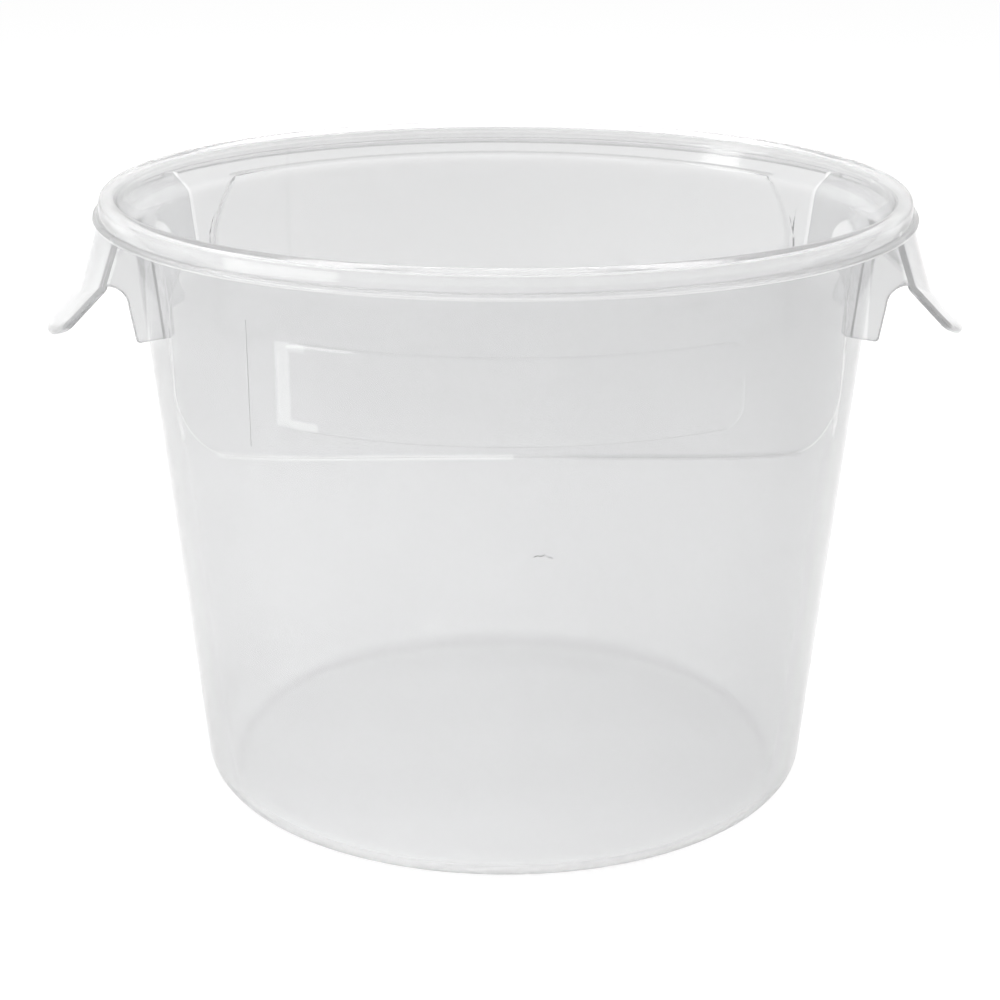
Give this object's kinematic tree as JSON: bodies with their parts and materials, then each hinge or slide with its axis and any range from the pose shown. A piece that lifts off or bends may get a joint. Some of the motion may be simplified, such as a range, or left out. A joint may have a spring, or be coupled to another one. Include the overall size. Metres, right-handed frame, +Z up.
{
  "type": "round food storage container",
  "caption": "Clear round tapered food storage tub with a rolled rim, a lid lip, raised front and back bands and open lug handles on its sides.",
  "frame": {"origin": "centre of the flat underside, on the surface that the tub stands on", "axes": "+Z up along the tub's axis, +X and -X through the middle of the lug handles, -Y towards the front, where the label panel is"},
  "size_m": [0.2852, 0.254, 0.192],
  "materials": {
    "clear_shell": "clear to slightly hazy moulded polypropylene, glossy, the same all over because the tub is one moulding"
  },
  "bodies": {
    "root": {"floor_panel": "clear_shell", "base_heel": "clear_shell", "side_wall": "clear_shell", "front_band": "clear_shell", "back_band": "clear_shell", "label_panel": "clear_shell", "rim_shoulder": "clear_shell", "rim_bead": "clear_shell", "rim_skirt": "clear_shell", "rim_lip": "clear_shell", "left_handle_plate": "clear_shell", "left_handle_grip": "clear_shell", "left_front_web": "clear_shell", "left_back_web": "clear_shell", "right_handle_plate": "clear_shell", "right_handle_grip": "clear_shell", "right_front_web": "clear_shell", "right_back_web": "clear_shell"}
  },
  "joints": []
}
